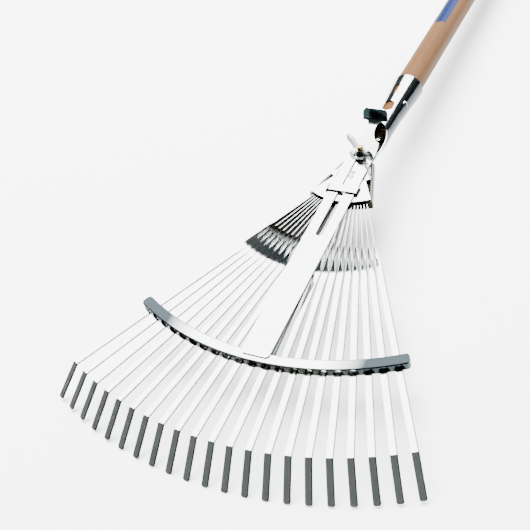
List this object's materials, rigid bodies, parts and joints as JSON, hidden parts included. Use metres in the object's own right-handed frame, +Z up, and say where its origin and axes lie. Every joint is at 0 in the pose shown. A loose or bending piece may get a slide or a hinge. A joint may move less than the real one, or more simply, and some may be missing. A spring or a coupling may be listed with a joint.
{
  "type": "leaf rake",
  "caption": "Adjustable leaf rake: fan of flat spring tines with bent tips, sliding notched spreader bar on a slotted brace with wing nut, and a round wooden handle.",
  "frame": {"origin": "centre of the rake's footprint on the surface it lies on, at that surface", "axes": "+X across the fan, +Y from the tines' tips to the handle's end, +Z up"},
  "size_m": [0.3362, 1.6811, 0.0801],
  "materials": {
    "spring_steel": "zinc plated, bright",
    "zinc_sheet": "zinc plated, bright",
    "fasteners": "zinc plated",
    "wood": "satin",
    "label": "satin film"
  },
  "bodies": {
    "head": {"head_plate": "zinc_sheet", "head_bottom_plate": "zinc_sheet", "head_socket": "zinc_sheet", "handle_shaft": "wood", "handle_label": "label", "keeper_strap": "zinc_sheet", "carriage_bolt": "fasteners", "washer": "fasteners", "socket_screw": "fasteners", "tine_11": "spring_steel"},
    "adjuster": {"centre_brace": "zinc_sheet", "spreader_bar": "zinc_sheet", "bar_closing_strip": "zinc_sheet"},
    "wing_nut": {"wing_nut": "fasteners"},
    "tine_01": {"tine_01": "spring_steel"},
    "tine_02": {"tine_02": "spring_steel"},
    "tine_03": {"tine_03": "spring_steel"},
    "tine_04": {"tine_04": "spring_steel"},
    "tine_05": {"tine_05": "spring_steel"},
    "tine_06": {"tine_06": "spring_steel"},
    "tine_07": {"tine_07": "spring_steel"},
    "tine_08": {"tine_08": "spring_steel"},
    "tine_09": {"tine_09": "spring_steel"},
    "tine_10": {"tine_10": "spring_steel"},
    "tine_12": {"tine_12": "spring_steel"},
    "tine_13": {"tine_13": "spring_steel"},
    "tine_14": {"tine_14": "spring_steel"},
    "tine_15": {"tine_15": "spring_steel"},
    "tine_16": {"tine_16": "spring_steel"},
    "tine_17": {"tine_17": "spring_steel"},
    "tine_18": {"tine_18": "spring_steel"},
    "tine_19": {"tine_19": "spring_steel"},
    "tine_20": {"tine_20": "spring_steel"},
    "tine_21": {"tine_21": "spring_steel"}
  },
  "joints": [
    {"name": "adjuster_slide", "type": "slide", "parent": "head", "child": "adjuster", "axis": [0, 0.998, 0.063], "range_m": [0, 0.031]},
    {"name": "wing_nut_turn", "type": "hinge", "parent": "head", "child": "wing_nut", "pos_m": [0, -0.47751, 0.06112], "axis": [0, -0.063, 0.998], "continuous": true},
    {"name": "tine_01_swing", "type": "hinge", "parent": "head", "child": "tine_01", "pos_m": [-0.02401, -0.52977, 0.0458], "axis": [0, -0.063, 0.998], "range_deg": [-4.84, 0]},
    {"name": "tine_02_swing", "type": "hinge", "parent": "head", "child": "tine_02", "pos_m": [-0.02177, -0.53087, 0.04573], "axis": [0, -0.063, 0.998], "range_deg": [-4.41, 0]},
    {"name": "tine_03_swing", "type": "hinge", "parent": "head", "child": "tine_03", "pos_m": [-0.01948, -0.53186, 0.04567], "axis": [0, -0.063, 0.998], "range_deg": [-3.96, 0]},
    {"name": "tine_04_swing", "type": "hinge", "parent": "head", "child": "tine_04", "pos_m": [-0.01714, -0.53274, 0.04562], "axis": [0, -0.063, 0.998], "range_deg": [-3.5, 0]},
    {"name": "tine_05_swing", "type": "hinge", "parent": "head", "child": "tine_05", "pos_m": [-0.01477, -0.5335, 0.04557], "axis": [0, -0.063, 0.998], "range_deg": [-3.03, 0]},
    {"name": "tine_06_swing", "type": "hinge", "parent": "head", "child": "tine_06", "pos_m": [-0.01236, -0.53415, 0.04553], "axis": [0, -0.063, 0.998], "range_deg": [-2.55, 0]},
    {"name": "tine_07_swing", "type": "hinge", "parent": "head", "child": "tine_07", "pos_m": [-0.00992, -0.53468, 0.04549], "axis": [0, -0.063, 0.998], "range_deg": [-2.05, 0]},
    {"name": "tine_08_swing", "type": "hinge", "parent": "head", "child": "tine_08", "pos_m": [-0.00746, -0.5351, 0.04547], "axis": [0, -0.063, 0.998], "range_deg": [-1.55, 0]},
    {"name": "tine_09_swing", "type": "hinge", "parent": "head", "child": "tine_09", "pos_m": [-0.00498, -0.5354, 0.04545], "axis": [0, -0.063, 0.998], "range_deg": [-1.05, 0]},
    {"name": "tine_10_swing", "type": "hinge", "parent": "head", "child": "tine_10", "pos_m": [-0.00249, -0.53558, 0.04544], "axis": [0, -0.063, 0.998], "range_deg": [-0.54, 0]},
    {"name": "tine_12_swing", "type": "hinge", "parent": "head", "child": "tine_12", "pos_m": [0.00249, -0.53558, 0.04544], "axis": [0, -0.063, 0.998], "range_deg": [0, 0.54]},
    {"name": "tine_13_swing", "type": "hinge", "parent": "head", "child": "tine_13", "pos_m": [0.00498, -0.5354, 0.04545], "axis": [0, -0.063, 0.998], "range_deg": [0, 1.05]},
    {"name": "tine_14_swing", "type": "hinge", "parent": "head", "child": "tine_14", "pos_m": [0.00746, -0.5351, 0.04547], "axis": [0, -0.063, 0.998], "range_deg": [0, 1.55]},
    {"name": "tine_15_swing", "type": "hinge", "parent": "head", "child": "tine_15", "pos_m": [0.00992, -0.53468, 0.04549], "axis": [0, -0.063, 0.998], "range_deg": [0, 2.05]},
    {"name": "tine_16_swing", "type": "hinge", "parent": "head", "child": "tine_16", "pos_m": [0.01236, -0.53415, 0.04553], "axis": [0, -0.063, 0.998], "range_deg": [0, 2.55]},
    {"name": "tine_17_swing", "type": "hinge", "parent": "head", "child": "tine_17", "pos_m": [0.01477, -0.5335, 0.04557], "axis": [0, -0.063, 0.998], "range_deg": [0, 3.03]},
    {"name": "tine_18_swing", "type": "hinge", "parent": "head", "child": "tine_18", "pos_m": [0.01714, -0.53274, 0.04562], "axis": [0, -0.063, 0.998], "range_deg": [0, 3.5]},
    {"name": "tine_19_swing", "type": "hinge", "parent": "head", "child": "tine_19", "pos_m": [0.01948, -0.53186, 0.04567], "axis": [0, -0.063, 0.998], "range_deg": [0, 3.96]},
    {"name": "tine_20_swing", "type": "hinge", "parent": "head", "child": "tine_20", "pos_m": [0.02177, -0.53087, 0.04573], "axis": [0, -0.063, 0.998], "range_deg": [0, 4.41]},
    {"name": "tine_21_swing", "type": "hinge", "parent": "head", "child": "tine_21", "pos_m": [0.02401, -0.52977, 0.0458], "axis": [0, -0.063, 0.998], "range_deg": [0, 4.84]}
  ],
  "couplings": [
    {"joint": "tine_01_swing", "follows": "adjuster_slide", "rad_per_m": -2.7097},
    {"joint": "tine_02_swing", "follows": "adjuster_slide", "rad_per_m": -2.4674},
    {"joint": "tine_03_swing", "follows": "adjuster_slide", "rad_per_m": -2.2163},
    {"joint": "tine_04_swing", "follows": "adjuster_slide", "rad_per_m": -1.9573},
    {"joint": "tine_05_swing", "follows": "adjuster_slide", "rad_per_m": -1.6913},
    {"joint": "tine_06_swing", "follows": "adjuster_slide", "rad_per_m": -1.419},
    {"joint": "tine_07_swing", "follows": "adjuster_slide", "rad_per_m": -1.1416},
    {"joint": "tine_08_swing", "follows": "adjuster_slide", "rad_per_m": -0.85996},
    {"joint": "tine_09_swing", "follows": "adjuster_slide", "rad_per_m": -0.5751},
    {"joint": "tine_10_swing", "follows": "adjuster_slide", "rad_per_m": -0.28809},
    {"joint": "tine_12_swing", "follows": "adjuster_slide", "rad_per_m": 0.28809},
    {"joint": "tine_13_swing", "follows": "adjuster_slide", "rad_per_m": 0.5751},
    {"joint": "tine_14_swing", "follows": "adjuster_slide", "rad_per_m": 0.85996},
    {"joint": "tine_15_swing", "follows": "adjuster_slide", "rad_per_m": 1.1416},
    {"joint": "tine_16_swing", "follows": "adjuster_slide", "rad_per_m": 1.419},
    {"joint": "tine_17_swing", "follows": "adjuster_slide", "rad_per_m": 1.6913},
    {"joint": "tine_18_swing", "follows": "adjuster_slide", "rad_per_m": 1.9573},
    {"joint": "tine_19_swing", "follows": "adjuster_slide", "rad_per_m": 2.2163},
    {"joint": "tine_20_swing", "follows": "adjuster_slide", "rad_per_m": 2.4674},
    {"joint": "tine_21_swing", "follows": "adjuster_slide", "rad_per_m": 2.7097}
  ]
}
